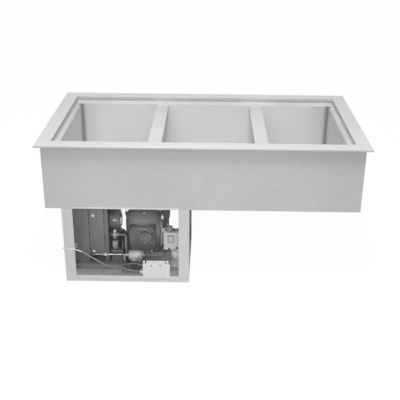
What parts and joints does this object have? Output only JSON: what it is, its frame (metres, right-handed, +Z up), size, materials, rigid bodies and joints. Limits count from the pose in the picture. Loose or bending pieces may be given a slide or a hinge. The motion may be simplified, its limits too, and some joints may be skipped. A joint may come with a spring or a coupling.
{
  "type": "drop in refrigerated food well",
  "caption": "Drop-in refrigerated food well with a flanged rim, an insulated tub with loose adapter bars, and a condensing unit in an open frame below.",
  "frame": {"origin": "centre of the well in plan, at the foot of the frame", "axes": "+X along the well to the right as seen from the front, +Y to the back, +Z up"},
  "size_m": [1.143, 0.65, 0.532],
  "materials": {
    "stainless": "brushed",
    "liner_steel": "satin",
    "breaker_plastic": "satin",
    "galvanised": "spangled",
    "pan_steel": "satin",
    "dark_steel": "satin",
    "shroud_grey": "satin",
    "black_plastic": "matte",
    "copper_tube": "satin",
    "brass": "satin",
    "bright_steel": "bright",
    "fin_pack": "matte",
    "foam": "matte",
    "black_foam": "matte",
    "box_grey": "satin",
    "lead_white": "satin",
    "black_rubber": "matte",
    "knob_grey": "matte"
  },
  "bodies": {
    "well": {"top_flange": "stainless", "breaker_front": "breaker_plastic", "breaker_back": "breaker_plastic", "breaker_left": "breaker_plastic", "breaker_right": "breaker_plastic", "well_liner": "liner_steel", "evaporator_coil": "copper_tube", "insulation": "foam", "casing_front": "galvanised", "casing_back": "galvanised", "casing_left": "galvanised", "casing_right": "galvanised", "casing_bottom": "galvanised", "drain_tailpiece": "brass", "drain_locknut": "brass", "leg_front_left": "galvanised", "leg_front_right": "galvanised", "leg_back_left": "galvanised", "leg_back_right": "galvanised", "rail_front": "galvanised", "rail_back": "galvanised", "rail_left": "galvanised", "rail_right": "galvanised", "base_pan": "pan_steel", "unit_base": "dark_steel", "condenser_coil": "fin_pack", "fan_shroud": "shroud_grey", "fan_motor_bracket": "dark_steel", "fan_motor": "dark_steel", "compressor_foot": "dark_steel", "compressor_shell_lower": "dark_steel", "compressor_shell_upper": "dark_steel", "compressor_core": "bright_steel", "terminal_cover": "black_plastic", "valve_shelf": "shroud_grey", "line_strainer": "brass", "service_valve": "brass", "liquid_line": "copper_tube", "filter_drier": "bright_steel", "drier_clip": "bright_steel", "valve_line": "copper_tube", "suction_line": "copper_tube", "suction_sleeve": "black_foam", "discharge_line": "copper_tube", "receiver": "box_grey", "control_box": "box_grey", "control_cover": "box_grey", "junction_box": "galvanised", "junction_cover": "galvanised", "sensor_lead": "lead_white", "lead_tie": "lead_white", "power_lead": "black_rubber"},
    "fan": {"fan_blade": "bright_steel"},
    "bar_left": {"adapter_bar_left": "stainless"},
    "bar_right": {"adapter_bar_right": "stainless"},
    "strainer": {"drain_strainer": "stainless"},
    "knob": {"thermostat_knob": "knob_grey"},
    "cap": {"valve_cap": "brass"},
    "bail": {"terminal_bail": "bright_steel"}
  },
  "joints": [
    {"name": "fan_spin", "type": "hinge", "parent": "well", "child": "fan", "pos_m": [-0.38499, -0.08399, 0.146], "axis": [1, 0, 0], "continuous": true},
    {"name": "adapter_bar_left_lift", "type": "slide", "parent": "well", "child": "bar_left", "axis": [0, 0, 1], "range_m": [0, 0.06]},
    {"name": "adapter_bar_right_lift", "type": "slide", "parent": "well", "child": "bar_right", "axis": [0, 0, 1], "range_m": [0, 0.06]},
    {"name": "drain_strainer_lift", "type": "slide", "parent": "well", "child": "strainer", "axis": [0, 0, 1], "range_m": [0, 0.215]},
    {"name": "knob_turn", "type": "hinge", "parent": "well", "child": "knob", "pos_m": [-0.1185, -0.23201, 0.17501], "axis": [0, 0, 1], "range_deg": [0, 270]},
    {"name": "valve_cap_lift", "type": "slide", "parent": "well", "child": "cap", "axis": [0, 0, 1], "range_m": [0, 0.025]},
    {"name": "terminal_bail_swing", "type": "hinge", "parent": "well", "child": "bail", "pos_m": [-0.23599, -0.21689, 0.17149], "axis": [1, 0, 0], "range_deg": [-90, 0]}
  ]
}
